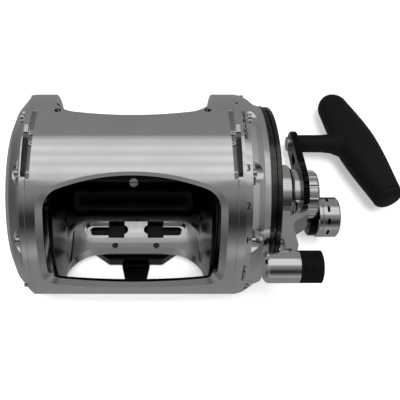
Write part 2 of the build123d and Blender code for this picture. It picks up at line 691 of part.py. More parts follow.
# ---- Spool, its shaft and the drag ---------------------------------------------------------------
with BuildPart() as spool:
    with BuildSketch(section()) as half:
        with BuildLine():
            for side in (1, -1):
                inner = flange_outer - flange_rim
                deep = arbor_half + arbor_fillet
                Line((0, arbor_radius), (side * arbor_half, arbor_radius))
                ThreePointArc(
                    (side * arbor_half, arbor_radius),
                    (side * (arbor_half + arbor_fillet * sin(pi / 4)),
                     arbor_radius + arbor_fillet * (1 - cos(pi / 4))),
                    (side * deep, arbor_radius + arbor_fillet),
                )
                Polyline(
                    (side * deep, arbor_radius + arbor_fillet), (side * inner, flange_radius - 1),
                    (side * (inner + 0.4), flange_radius), (side * (flange_outer - 0.4), flange_radius),
                    (side * flange_outer, flange_radius - 0.4), (side * flange_outer, spool_bearing_radius),
                    (side * spool_bearing_x, spool_bearing_radius), (side * spool_bearing_x, arbor_bore),
                    (0, arbor_bore),
                )
        make_face()
    revolve(axis=Axis((0, *spool_centre), (1, 0, 0)))
    with BuildSketch(facing(line_screw_clock, arbor_bore - 1)) as line_hole:
        Circle(1.5)
    extrude(amount=arbor_radius, mode=Mode.SUBTRACT)
save(spool, "spool")

with BuildPart() as line_screw:
    with BuildSketch(facing(line_screw_clock, arbor_bore + 3)) as line_thread:
        Circle(1.5)
    extrude(amount=arbor_radius - arbor_bore - 3)
    with BuildSketch(facing(line_screw_clock, arbor_radius)) as line_head:
        Circle(3.0)
        Rectangle(7, 0.9, mode=Mode.SUBTRACT)
    extrude(amount=1.4)
save(line_screw, "line_tie_screw")

for side, name in ((-1, "spool_bearing_left"), (1, "spool_bearing_right")):
    bearing_ends = sorted((side * spool_bearing_x, side * (spool_bearing_x + spool_bearing_width)))
    ring_piece(name, *bearing_ends, spool_bearing_radius, shaft_radius + running)

ring_piece("drag_washer", washer_x, washer_x + drag_washer_thickness, drag_radius, drag_washer_inner)

with BuildPart() as click_ratchet:
    saw_ring(-flange_outer - click_thickness, click_thickness, click_ratchet_radius, 1.6,
             click_ratchet_teeth, bush_radius + 6, spool_centre)
save(click_ratchet, "click_ratchet")

with BuildPart() as spool_shaft:
    turned(
        (shaft_left, 0), (shaft_left, shaft_radius - 0.5), (shaft_left + 0.5, shaft_radius),
        (shaft_step_x, shaft_radius), (shaft_step_x, shaft_small_radius),
        (preset_end - 2.6, shaft_small_radius), (preset_end - 2.0, shaft_small_radius - 0.6),
        (preset_end - 2.0, 0),
    )
save(spool_shaft, "spool_shaft")

spring_step = 2.0
spring_x = shaft_step_x + 0.4
with BuildPart() as release_springs:
    for i in range(4):
        x = spring_x + spring_step * i
        lean = 0.9 if i % 2 else -0.9
        turned((x + 0.45 - lean / 2, shaft_small_radius + slip), (x + 1.35 - lean / 2, shaft_small_radius + slip),
               (x + 1.35 + lean / 2, 8.4), (x + 0.45 + lean / 2, 8.4))
save(release_springs, "drag_release_springs")

with BuildPart() as pinion_sleeve:
    tube(drag_plate_x, low_gear_x, sleeve_big_radius, sleeve_bore)
    tube(low_gear_x, end_bearing_x + end_bearing_width, sleeve_radius, sleeve_bore)
save(pinion_sleeve, "pinion_sleeve")

with BuildPart() as drag_plate:
    tube(drag_plate_x, drag_plate_x + drag_plate_thickness, drag_radius, sleeve_big_radius)
    with BuildSketch(across(drag_plate_x)) as plate_holes:
        with PolarLocations(15.0, 6):
            Circle(3.0)
    extrude(amount=drag_plate_thickness, mode=Mode.SUBTRACT)
save(drag_plate, "drag_plate")

pinion_gap = -90.0
with BuildPart() as low_pinion:
    gear(low_gear_x, gear_width, low_pinion_teeth, pinion_gap + 180 / low_pinion_teeth, spool_centre,
         sleeve_radius)
save(low_pinion, "low_pinion")

with BuildPart() as high_pinion:
    gear(high_gear_x, gear_width, high_pinion_teeth, pinion_gap + 180 / high_pinion_teeth, spool_centre,
         sleeve_radius)
save(high_pinion, "high_pinion")


# ---- Crank shaft and its gears -------------------------------------------------------------------
def cut_key_way(x0, x1, width, reach):
    """A slot through the crank shaft's axis for the sliding key."""
    with BuildSketch(across(x0, crank_centre)) as way:
        Rectangle(width, 2 * reach)
    extrude(way.sketch, amount=x1 - x0, mode=Mode.SUBTRACT)


with BuildPart() as low_gear:
    gear(low_gear_x, gear_width, low_gear_teeth, 90, crank_centre, crank_radius + running)
    tube(low_gear_x + 2.0, low_gear_x + gear_width, key_reach + 0.5, centre=crank_centre, mode=Mode.SUBTRACT)
    with BuildSketch(across(low_gear_x, crank_centre)) as low_holes:
        with PolarLocations(12.6, 6):
            Circle(2.6)
    extrude(amount=gear_width, mode=Mode.SUBTRACT)
save(low_gear, "low_gear")

with BuildPart() as high_gear:
    gear(high_gear_x, gear_width, high_gear_teeth, 90, crank_centre, crank_radius)
    cut_key_way(high_gear_x, high_gear_x + gear_width, key_width + 2 * slip, key_reach + slip)
    with BuildSketch(across(high_gear_x, crank_centre)) as high_holes:
        with PolarLocations(16.2, 6, start_angle=30):
            Circle(4.2)
    extrude(amount=gear_width, mode=Mode.SUBTRACT)
save(high_gear, "high_gear")

with BuildPart() as ratchet:
    saw_ring(ratchet_x, ratchet_width, ratchet_radius, ratchet_depth, ratchet_teeth, crank_radius,
             crank_centre)
save(ratchet, "anti_reverse_ratchet")

button_pocket_x = collar_end - button_inside - button_travel - fine
with BuildPart() as crank_shaft:
    tube(bridge_x - 0.6, button_pocket_x, crank_radius, centre=crank_centre)
    tube(bridge_x + 1.8, button_pocket_x, crank_bore, centre=crank_centre, mode=Mode.SUBTRACT)
    cut_key_way(key_x - button_travel - 2 * fine, key_x + key_width + fine, key_width + 2 * slip, key_reach)
save(crank_shaft, "crank_shaft")

ring_piece("crank_spacer", crank_tube_end + fine, arm_x, spacer_radius, crank_radius, crank_centre)

with BuildPart() as crank_arm:
    linked_discs(arm_x, arm_thickness, crank_centre, arm_hub_radius, grip_post, arm_tip_radius)
    fillet(crank_arm.edges().filter_by(Plane.YZ), 1.6)
    tube(arm_x, arm_x + arm_thickness, crank_radius, centre=crank_centre, mode=Mode.SUBTRACT)
    tube(arm_x, arm_x + arm_thickness, grip_pin_radius, centre=grip_post, mode=Mode.SUBTRACT)
    slot_ends = [at_clock(reach, 180 + arm_slope, crank_centre) for reach in arm_slot_reach]
    with BuildSketch(across(arm_x, (0, 0))) as arm_slot:
        with Locations(((slot_ends[0][0] + slot_ends[1][0]) / 2, (slot_ends[0][1] + slot_ends[1][1]) / 2)):
            SlotCenterToCenter(arm_slot_reach[1] - arm_slot_reach[0], arm_slot_width, rotation=-arm_slope)
    extrude(amount=arm_thickness, mode=Mode.SUBTRACT)
save(crank_arm, "crank_arm")

collar_x = arm_x + arm_thickness
with BuildPart() as shift_collar:
    turned(
        (collar_x, crank_radius), (collar_x, collar_radius - 0.8), (collar_x + 0.8, collar_radius),
        (collar_x + 2.6, collar_radius), (collar_x + 3.2, collar_radius - 0.6),
        (collar_x + 3.8, collar_radius), (collar_end - 1.2, collar_radius),
        (collar_end, collar_radius - 1.2), (collar_end, crank_radius), centre=crank_centre,
    )
    tube(button_pocket_x, collar_end, button_radius + slip, centre=crank_centre, mode=Mode.SUBTRACT)
    collar_middle = (collar_x + collar_end) / 2 - 0.6
    for i in range(collar_slots):
        slot_clock = 360 / collar_slots * i + 12
        turn = radians(slot_clock)
        outward = Vector(0, -cos(turn), sin(turn))
        slot_plane = Plane(origin=Vector(collar_middle, *crank_centre) + outward * (collar_radius - 3),
                           x_dir=(1, 0, 0), z_dir=outward)
        with BuildSketch(slot_plane) as collar_slot:
            SlotOverall(collar_slot_length, collar_slot_width, rotation=90)
        extrude(amount=6, mode=Mode.SUBTRACT)
save(shift_collar, "shift_collar")

spindle_x = bridge_x + 1.8 + button_travel + 1.6
button_x = collar_end - button_inside
with BuildPart() as shift_spindle:
    tube(spindle_x, button_x, spindle_radius, centre=crank_centre)
    cut_key_way(key_x, key_x + key_width, key_width, 2 * spindle_radius)
save(shift_spindle, "shift_spindle")

with BuildPart() as shift_key:
    with BuildSketch(across(key_x, crank_centre)) as key_face:
        Rectangle(key_width, 2 * key_reach - 2 * slip)
    extrude(amount=key_width)
save(shift_key, "shift_key")

with BuildPart() as shift_button:
    turned(
        (button_x, 0), (button_x, button_radius), (collar_end + button_proud - 1.2, button_radius),
        (collar_end + button_proud, button_radius - 1.2), (collar_end + button_proud, button_radius - 3.4),
        (collar_end + button_proud - 0.6, button_radius - 4.2), (collar_end + button_proud - 0.6, 0),
        centre=crank_centre,
    )
save(shift_button, "shift_button")

ring_piece("shift_spring", bridge_x + 1.8, bridge_x + 3.0, 3.7, 2.0, crank_centre)

# ---- Anti-reverse pawls --------------------------------------------------------------------------
for (name, pawl_clock), pivot in zip(pawls, pawl_pivots):
    tip = at_clock(pawl_tip_circle, pawl_clock - pawl_swing, crank_centre)
    with BuildPart() as pawl:
        linked_discs(ratchet_x, ratchet_width, pivot, pawl_boss, tip, pawl_tip)
        tube(ratchet_x, ratchet_x + ratchet_width, pawl_pin_radius + running, centre=pivot,
             mode=Mode.SUBTRACT)
    save(pawl, name)

with BuildPart() as pawl_pins:
    for pivot in pawl_pivots:
        tube(ratchet_x - 0.4, right_floor + pawl_pin_reach, pawl_pin_radius, centre=pivot)
save(pawl_pins, "pawl_pins")

# ---- Drag quadrant, cam housing and cam ----------------------------------------------------------
def sector_points(outer, start, end, steps):
    """Rim points of a sector, as (y, z) from the spool axis."""
    return [at_clock(outer, start + (end - start) * i / steps, (0, 0)) for i in range(steps + 1)]


with BuildPart() as quadrant:
    rail_end = right_face + quadrant_base + quadrant_rail
    turned(
        (right_face, quadrant_inner), (right_face, quadrant_radius),
        (right_face + quadrant_flange, quadrant_radius), (right_face + quadrant_flange + 0.4, quadrant_groove),
        (rail_end - quadrant_band - 0.4, quadrant_groove), (rail_end - quadrant_band, quadrant_radius - 0.6),
        (rail_end - 0.8, quadrant_radius - 0.6), (rail_end, quadrant_radius - 1.4),
        (rail_end, quadrant_radius - quadrant_rail_width),
        (right_face + quadrant_base, quadrant_radius - quadrant_rail_width),
        (right_face + quadrant_base, quadrant_inner),
    )
    with BuildSketch(across(right_face)) as kept:
        with BuildLine():
            Polyline((0, 0), *sector_points(2 * quadrant_radius, quadrant_start, quadrant_end, 6), close=True)
        make_face()
        Circle(quadrant_radius, mode=Mode.INTERSECT)
        Circle(quadrant_inner, mode=Mode.SUBTRACT)
        outer_corners = [v for v in kept.vertices()
                         if abs(Vector(v.Y, v.Z - axis_height).length - quadrant_radius) < 0.01]
        fillet(outer_corners, quadrant_corner)
    extrude(amount=20, mode=Mode.INTERSECT)
    teeth = int((quadrant_end - quadrant_start) / quadrant_tooth_pitch) - 6
    with BuildSketch(across(right_face + 0.7)) as notches:
        for i in range(teeth):
            notch_clock = quadrant_start + quadrant_tooth_pitch * (i + 3.5)
            with Locations(at_clock(quadrant_radius + 0.2, notch_clock, (0, 0))):
                Rectangle(1.6 * quadrant_tooth_depth, 0.8 * quadrant_tooth_depth, rotation=180 - notch_clock)
    extrude(amount=quadrant_flange, mode=Mode.SUBTRACT)
    for point in quadrant_screw_points:
        tube(right_face, right_face + quadrant_base, screw_thread, centre=point, mode=Mode.SUBTRACT)
save(quadrant, "drag_quadrant")

with BuildPart() as quadrant_screws:
    screw_group(quadrant_screw_points, right_face + quadrant_base, right_face - quadrant_screw_reach, 1,
                screw_thread, screw_head, 1.3)
save(quadrant_screws, "quadrant_screws")

with BuildPart() as cam_housing:
    turned(
        (right_face, sleeve_radius + 1), (right_face, housing_radius), (housing_end - 1.5, housing_nose_radius + 0.6),
        (housing_end, housing_nose_radius - 0.9), (housing_end, cam_radius + slip),
        (cam_start - 1.0, cam_radius + slip), (cam_start - 1.0, sleeve_radius + 1),
    )
save(cam_housing, "cam_housing")

with BuildPart() as drag_cam:
    turned(
        (cam_start, sleeve_bore), (cam_start, cam_radius), (housing_end + 0.8, cam_radius),
        (housing_end + 0.8, cam_nose_radius), (preset_x - 0.7, cam_nose_radius), (preset_x - 0.7, sleeve_bore),
    )
save(drag_cam, "drag_cam")

# ---- Drag lever and its knob ---------------------------------------------------------------------
lever_knob_centre = at_clock(lever_knob_circle, lever_clock)
with BuildPart() as drag_lever:
    tube(lever_ring_x, lever_ring_x + lever_ring_width, lever_ring_radius)
    with BuildSketch(radial_section(lever_clock)) as lever_side:
        with BuildLine():
            Polyline(
                (lever_ring_x, 12), (lever_ring_x, 17), (113.4, 23.2), (112.4, 27.6), (98.0, 39.2),
                (lever_face_x, 43.5), (lever_face_x, lever_knob_circle - lever_knob_radius - 0.6),
                (lever_eye_x, lever_knob_circle - lever_knob_radius - 0.6),
                (lever_eye_x, lever_knob_circle - 3), (lever_knob_split, lever_knob_circle - 3),
                (lever_knob_split, lever_knob_circle - lever_knob_radius - 0.6),
                (103.4, lever_knob_circle - lever_knob_radius - 3.4), (103.6, 45.0), (105.0, 41.2),
                (115.4, 32.6), (117.8, 27.0), (117.6, 21.0), (lever_ring_x + lever_ring_width, 14.5),
                (lever_ring_x + lever_ring_width, 12), close=True,
            )
        make_face()
        fillet(lever_side.vertices().filter_by(lambda v: 18 < v.Y < 47), 2.2)
    extrude(amount=lever_width / 2, both=True)
    tube(lever_eye_x, lever_knob_split, lever_knob_radius, centre=lever_knob_centre)
    tube(lever_ring_x - 1, lever_ring_x + 20, cam_nose_radius, mode=Mode.SUBTRACT)
    tube(lever_eye_x, lever_knob_split, lever_knob_bolt, centre=lever_knob_centre, mode=Mode.SUBTRACT)
save(drag_lever, "drag_lever")

with BuildPart() as knob_barrel:
    turned(
        (lever_knob_start, 0), (lever_knob_start, lever_knob_radius - 2.2), (lever_knob_start + 1.4, lever_knob_radius - 0.5),
        (lever_knob_start + 2.4, lever_knob_radius), (lever_eye_x, lever_knob_radius), (lever_eye_x, 0),
        centre=lever_knob_centre,
    )
    tube(lever_eye_x - 8, lever_eye_x, lever_knob_bolt, centre=lever_knob_centre, mode=Mode.SUBTRACT)
save(knob_barrel, "lever_knob_barrel")

with BuildPart() as knob_grip:
    rib_pitch = (lever_knob_end - lever_knob_split) / grip_ribs
    rib_outline = [(lever_knob_split, 0)]
    for i in range(grip_ribs):
        x = lever_knob_split + rib_pitch * i
        rib_outline += [(x + 0.1 * rib_pitch, lever_knob_radius - 0.7), (x + 0.3 * rib_pitch, lever_knob_radius),
                        (x + 0.7 * rib_pitch, lever_knob_radius), (x + 0.9 * rib_pitch, lever_knob_radius - 0.7)]
    rib_outline.append((lever_knob_end, 0))
    turned(*rib_outline, centre=lever_knob_centre)
    tube(lever_knob_split, lever_knob_split + 8, lever_knob_bolt, centre=lever_knob_centre, mode=Mode.SUBTRACT)
save(knob_grip, "lever_knob_grip")

with BuildPart() as knob_stud:
    tube(lever_eye_x - 8, lever_knob_split + 8, lever_knob_bolt, centre=lever_knob_centre)
save(knob_stud, "lever_knob_stud")

with BuildPart() as detent:
    turned(
        (93.3, 0), (93.6, 1.6), (94.2, 2.4), (lever_face_x, 2.4), (lever_face_x, 0),
        centre=at_clock(quadrant_screw_circle, lever_clock),
    )
save(detent, "lever_detent")

with BuildPart() as preset_knob:
    turned(
        (preset_x, 0), (preset_x, preset_radius - 0.8), (preset_x + 0.8, preset_radius),
        (preset_end - 1.6, preset_radius), (preset_end, preset_radius - 1.6), (preset_end, 9.0),
        (preset_end - 0.8, 8.2), (preset_end - 0.8, 0),
    )
    tube(preset_x, preset_end - 1.9, shaft_small_radius + running, mode=Mode.SUBTRACT)
    with BuildSketch(across(preset_x)) as flutes:
        with PolarLocations(preset_radius + 0.9, preset_ribs):
            Circle(1.7)
    extrude(amount=preset_end - preset_x, mode=Mode.SUBTRACT)
save(preset_knob, "preset_knob")

with BuildPart() as lever_cap:
    turned(
        (cap_x, cam_nose_radius), (cap_x, cap_radius - 1.0), (cap_x + 1.0, cap_radius),
        (cap_end - 0.8, cap_radius), (cap_end, cap_radius - 0.8), (cap_end, preset_radius + fine),
        (preset_x - 0.7, preset_radius + fine), (preset_x - 0.7, cam_nose_radius),
    )
    with BuildSketch(across(cap_x)) as cap_notches:
        for i in range(cap_lobes):
            with Locations(at_clock(cap_radius + 4.4, 360 / cap_lobes * (i + 0.5) - 1, (0, 0))):
                Circle(5.6)
    extrude(amount=cap_end - cap_x, mode=Mode.SUBTRACT)
    with BuildSketch(facing(lever_clock, lever_ring_radius - 4)) as lever_way:
        with Locations(((cap_x + cap_end) / 2, 0)):
            Rectangle(2 * (cap_end - cap_x), lever_width + 2 * fine)
    extrude(amount=lever_ring_radius, mode=Mode.SUBTRACT)
save(lever_cap, "lever_cap")

# ---- T-bar grip ----------------------------------------------------------------------------------
with BuildPart() as grip_pin:
    tube(arm_x, grip_pin_end, grip_pin_radius, centre=grip_post)
    tube(arm_x - 2.4, arm_x, grip_nut_radius, centre=grip_post)
    tube(grip_pin_end - 5.4, grip_pin_end, grip_pin_head, centre=grip_post)
save(grip_pin, "grip_pin")

grip_start = arm_x + arm_thickness + fine
pocket_x = grip_pin_end - 5.4 - fine
with BuildPart() as crank_grip:
    yaw, pitch = radians(grip_yaw), radians(grip_pitch)
    grip_way = Vector(sin(yaw) * cos(pitch), -cos(yaw) * cos(pitch), sin(pitch))
    grip_out = Vector(0, 0, 1).cross(grip_way).normalized()
    grip_plane = Plane(origin=(grip_centre_x, *grip_post), x_dir=grip_way, z_dir=grip_out)
    with BuildSketch(grip_plane) as pod_half:
        with BuildLine():
            Line((-grip_front, 0), (-grip_front, 4.0))
            ThreePointArc((-grip_front, 4.0), (-grip_front + 4.4, 9.4), (-grip_front + 12, 12.6))
            Spline((-grip_front + 12, 12.6), (-20, 15.2), (0, 16.6), (18, 16.0), (grip_rear - 22, 13.8),
                   (grip_rear - 6.8, 12.0))
            Polyline((grip_rear - 6.8, 12.0), (grip_rear - 6.3, 11.4), (grip_rear - 5.8, 11.9))
            ThreePointArc((grip_rear - 5.8, 11.9), (grip_rear - 1.6, 10.6), (grip_rear, 7.6))
            Polyline((grip_rear, 7.6), (grip_rear, 0), (-grip_front, 0))
        make_face()
    revolve(axis=Axis((grip_centre_x, *grip_post), grip_way))
    turned(
        (grip_start, 0), (grip_start, stem_radius - 0.6), (grip_start + 0.6, stem_radius), (156, stem_radius),
        (164, stem_radius + 0.9), (171, stem_flare), (grip_centre_x, stem_flare), (grip_centre_x, 0),
        centre=grip_post,
    )
    turned(
        (grip_start - 1, 0), (grip_start - 1, grip_bush_radius), (pocket_x, grip_bush_radius),
        (pocket_x, grip_pin_head + fine), (grip_pin_end + fine, grip_pin_head + fine),
        (grip_pin_end + fine, 0), centre=grip_post, mode=Mode.SUBTRACT,
    )
save(crank_grip, "crank_grip")

ring_piece("grip_bush", grip_start, pocket_x, grip_bush_radius, grip_pin_radius + running, grip_post)

# ---- Click switch --------------------------------------------------------------------------------
click_centre = at_clock(click_rest, click_clock)
with BuildPart() as click_slider:
    tube(-left_face - fine - click_button_height, -left_face - fine, click_button_radius, centre=click_centre)
    fillet(click_slider.edges().group_by(Axis.X)[0], 1.2)
    tube(-left_face - fine, -flange_outer - click_thickness / 2 - 0.6, click_pin_radius, centre=click_centre)
save(click_slider, "click_button")

with BuildPart() as bridge_screws:
    for point in bridge_screw_points:
        tube(bridge_x, bridge_end + bridge_screw_reach, bridge_screw_radius, centre=point)
save(bridge_screws, "bridge_screws")
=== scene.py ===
"""Look of the trolling reel: camera, light and floor, the finish of every piece, and the drag scale's marks.

Metres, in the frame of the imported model: +X along the spool axis to the crank side, -Y towards the angler
and +Z up. A clock angle goes round the spool axis: 0 towards the angler, 90 up, 180 towards the rod tip.
"""

import json
import math

import bmesh
import bpy
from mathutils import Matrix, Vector


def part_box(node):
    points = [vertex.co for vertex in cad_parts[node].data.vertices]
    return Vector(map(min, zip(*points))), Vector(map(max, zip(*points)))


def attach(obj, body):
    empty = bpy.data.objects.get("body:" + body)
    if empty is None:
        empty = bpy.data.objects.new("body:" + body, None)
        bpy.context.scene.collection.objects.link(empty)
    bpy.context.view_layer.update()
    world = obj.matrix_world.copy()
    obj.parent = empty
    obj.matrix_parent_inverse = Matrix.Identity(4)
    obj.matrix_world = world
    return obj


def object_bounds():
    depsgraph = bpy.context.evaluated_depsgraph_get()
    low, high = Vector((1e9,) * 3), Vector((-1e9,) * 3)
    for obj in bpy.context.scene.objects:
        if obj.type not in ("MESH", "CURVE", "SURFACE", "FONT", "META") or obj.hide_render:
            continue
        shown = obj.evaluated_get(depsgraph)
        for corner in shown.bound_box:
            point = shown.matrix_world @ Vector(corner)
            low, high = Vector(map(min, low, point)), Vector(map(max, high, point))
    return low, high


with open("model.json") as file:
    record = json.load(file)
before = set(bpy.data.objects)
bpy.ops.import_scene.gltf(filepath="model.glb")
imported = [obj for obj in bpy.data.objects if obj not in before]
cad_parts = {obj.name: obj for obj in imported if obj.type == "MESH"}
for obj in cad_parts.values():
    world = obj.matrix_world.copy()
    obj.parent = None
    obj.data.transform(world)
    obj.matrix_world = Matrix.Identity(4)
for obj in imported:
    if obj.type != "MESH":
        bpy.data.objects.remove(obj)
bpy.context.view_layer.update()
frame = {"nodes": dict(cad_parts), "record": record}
nodes = frame["nodes"]

MM = 0.001


# ---- Places worked out from the frame ------------------------------------------------------------
def axis_of(node):
    """Y and Z of the axis along X through the middle of a turned node."""
    low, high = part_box(node)
    return ((low.y + high.y) / 2, (low.z + high.z) / 2)


spool_axis = axis_of("spool")
crank_axis = axis_of("shift_collar")
knob_axis = axis_of("lever_knob_barrel")
ring_radius = (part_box("right_side_plate")[1].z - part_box("right_side_plate")[0].z) / 2


# ---- Camera --------------------------------------------------------------------------------------
camera_distance = 453 * MM          # from the spool axis, along the way the camera looks
camera_x = 10.7 * MM
camera_tilt = math.radians(59)      # the camera looks down on the reel from behind
sensor_width, focal_length = 36, 57.42      # in the camera's own millimetres
camera_shift = (0.1265, -0.0145)    # the reel's middle stands left of the picture's

camera = bpy.data.objects.new("camera", bpy.data.cameras.new("camera"))
bpy.context.scene.collection.objects.link(camera)
bpy.context.scene.camera = camera
camera.data.sensor_width = sensor_width
camera.data.lens = focal_length
camera.data.shift_x, camera.data.shift_y = camera_shift
camera.data.clip_start, camera.data.clip_end = 0.01, 20
camera.location = (
    camera_x,
    spool_axis[0] - camera_distance * math.cos(camera_tilt),
    spool_axis[1] + camera_distance * math.sin(camera_tilt),
)
camera.rotation_euler = (math.pi / 2 - camera_tilt, 0, 0)


# ---- Shader building blocks ----------------------------------------------------------------------
def add(tree, kind, settings=None, **sockets):
    """A shader node with its settings and inputs. An input is a number, a colour or another node's output."""
    made = tree.nodes.new("ShaderNode" + kind)
    for key, value in (settings or {}).items():
        setattr(made, key, value)
    for key, value in sockets.items():
        feed(tree, made.inputs[key.replace("_", " ")], value)
    return made


def feed(tree, socket, value):
    if isinstance(value, bpy.types.NodeSocket):
        tree.links.new(value, socket)
    else:
        socket.default_value = value


def calc(tree, operation, *values, clamp=False):
    """The output of a Math node."""
    made = tree.nodes.new("ShaderNodeMath")
    made.operation, made.use_clamp = operation, clamp
    for socket, value in zip(made.inputs, values):
        feed(tree, socket, value)
    return made.outputs[0]


def spread(tree, value, low, high, to_low, to_high):
    """Maps a value from one range to another, without going past its ends."""
    made = add(tree, "MapRange", Value=value, From_Min=low, From_Max=high, To_Min=to_low, To_Max=to_high)
    return made.outputs["Result"]


def blend_colours(tree, share, first, second):
    made = tree.nodes.new("ShaderNodeMix")
    made.data_type = "RGBA"
    feed(tree, made.inputs["Factor"], share)
    feed(tree, made.inputs[6], first)
    feed(tree, made.inputs[7], second)
    return made.outputs[2]


def around_axis(tree, axis):
    """Distance along X, distance from the axis and angle round it, of a point on a turned piece."""
    place = add(tree, "TexCoord").outputs["Object"]
    parts = add(tree, "SeparateXYZ", Vector=place)
    across = calc(tree, "SUBTRACT", parts.outputs["Y"], axis[0])
    up = calc(tree, "SUBTRACT", parts.outputs["Z"], axis[1])
    square = calc(tree, "ADD", calc(tree, "MULTIPLY", across, across), calc(tree, "MULTIPLY", up, up))
    return parts.outputs["X"], calc(tree, "SQRT", square), calc(tree, "ARCTAN2", up, across)


def noise(tree, scale, detail=2.0, place=None):
    """A Noise texture's value. Its place is the object's own unless given."""
    place = place or add(tree, "TexCoord").outputs["Object"]
    return add(tree, "TexNoise", Vector=place, Scale=scale, Detail=detail).outputs["Fac"]


def edge_wear_and_highlight(tree, width):
    """1 on the edges of a piece within that width, and 0 on its flats."""
    rounded = add(tree, "Bevel", {"samples": 4}, Radius=width).outputs["Normal"]
    flat = add(tree, "NewGeometry").outputs["Normal"]
    turn = add(tree, "VectorMath", {"operation": "DOT_PRODUCT"})
    feed(tree, turn.inputs[0], rounded)
    feed(tree, turn.inputs[1], flat)
    return spread(tree, turn.outputs["Value"], 0.995, 0.90, 0.0, 1.0)


def new_material(name, **constants):
    """A material with a Principled shader and the constants set on its own sockets."""
    made = bpy.data.materials.new(name)
    made.use_nodes = True
    shader = made.node_tree.nodes["Principled BSDF"]
    for key, value in constants.items():
        shader.inputs[key.replace("_", " ")].default_value = value
    return made, made.node_tree, shader


# ---- Finishes ------------------------------------------------------------------------------------
ring_pitch = 2600                   # turning marks in a metre, along the axis and outwards
edge_width = 0.25 * MM              # how far the painted edge highlight and edge wear reach
pocket_start = 60.4 * MM            # X where the harness pockets begin, each way


def turned_metal(name, colour, wear_and_highlight_tone, roughness, axis=spool_axis, groove=0.06, shade=None, **constants):
    """Metal turned on a lathe: fine rings round its axis, drift in the gloss, and edges painted brighter, as
    painted highlight and wear.

    shade, where given, makes the share of a darker tone, such as painted shade on a milled pocket's floor,
    from the shader's nodes."""
    made, tree, shader = new_material(name, Metallic=1.0, **constants)
    along, out, turn = around_axis(tree, axis)
    stretched = add(tree, "CombineXYZ", X=calc(tree, "MULTIPLY", along, ring_pitch),
                    Y=calc(tree, "MULTIPLY", out, ring_pitch), Z=calc(tree, "MULTIPLY", turn, 1.3)).outputs[0]
    rings = noise(tree, 1.0, 3.0, stretched)
    cloud = noise(tree, 38.0, 3.0)
    # painted highlight and wear: the edges take a lighter colour, in patches
    edge = edge_wear_and_highlight(tree, edge_width)
    patch = calc(tree, "MULTIPLY", edge, spread(tree, noise(tree, 260.0), 0.35, 0.6, 0.25, 1.0))
    tone = blend_colours(tree, spread(tree, cloud, 0.3, 0.7, 0.0, 1.0), colour,
                         [channel * 0.93 for channel in colour[:3]] + [1.0])
    if shade:
        share, dark = shade
        tone = blend_colours(tree, share(tree, along, out, turn), tone, dark)
    feed(tree, shader.inputs["Base Color"], blend_colours(tree, patch, tone, wear_and_highlight_tone))
    drift = calc(tree, "ADD", spread(tree, cloud, 0.3, 0.7, -0.025, 0.025),
                 spread(tree, rings, 0.3, 0.7, -0.03, 0.03))
    feed(tree, shader.inputs["Roughness"], calc(tree, "ADD", drift, roughness))
    bump = add(tree, "Bump", Strength=groove, Distance=0.02 * MM, Height=rings)
    feed(tree, shader.inputs["Normal"], bump.outputs["Normal"])
    return made


def moulded(name, colour, roughness, grain, strength, **constants):
    """Rubber or plastic from a mould: a fine pebbled skin and a little dust in its gloss."""
    made, tree, shader = new_material(name, **constants)
    pebbles = noise(tree, grain, 4.0)
    cloud = noise(tree, 45.0, 3.0)
    dusty = [1.5 * channel for channel in colour[:3]] + [1.0]
    feed(tree, shader.inputs["Base Color"],
         blend_colours(tree, spread(tree, cloud, 0.35, 0.7, 0.0, 1.0), colour, dusty))
    feed(tree, shader.inputs["Roughness"], spread(tree, cloud, 0.3, 0.7, roughness - 0.05, roughness + 0.06))
    bump = add(tree, "Bump", Strength=strength, Distance=0.05 * MM, Height=pebbles)
    feed(tree, shader.inputs["Normal"], bump.outputs["Normal"])
    return made


def grey(value, warm=0.0):
    return [value * (1 + warm), value, value * (1 - warm), 1.0]


def inside(tree, value, low, high):
    """1 where a value lies between two limits, and 0 elsewhere."""
    above = calc(tree, "GREATER_THAN", value, low)
    return calc(tree, "MULTIPLY", above, calc(tree, "LESS_THAN", value, high))


def lug_pocket_painted_shade(tree, along, out, turn):
    """Painted shade on the milled floor of the harness pockets, at the top of both ends of the frame."""
    on_top = inside(tree, turn, math.radians(68), math.radians(118))
    at_end = calc(tree, "GREATER_THAN", calc(tree, "ABSOLUTE", along), pocket_start)
    sunken = calc(tree, "LESS_THAN", out, ring_radius - 0.15 * MM)
    return calc(tree, "MULTIPLY", calc(tree, "MULTIPLY", on_top, at_end), sunken)


def collar_slot(tree, along, out, turn):
    """The black infill at the bottom of the collar's slots."""
    low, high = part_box("shift_collar")
    middle = (low.x + high.x) / 2
    band = inside(tree, along, middle - 2.4 * MM, middle + 1.6 * MM)
    return calc(tree, "MULTIPLY", band, inside(tree, out, 9 * MM, (high.z - low.z) / 2 - 0.5 * MM))
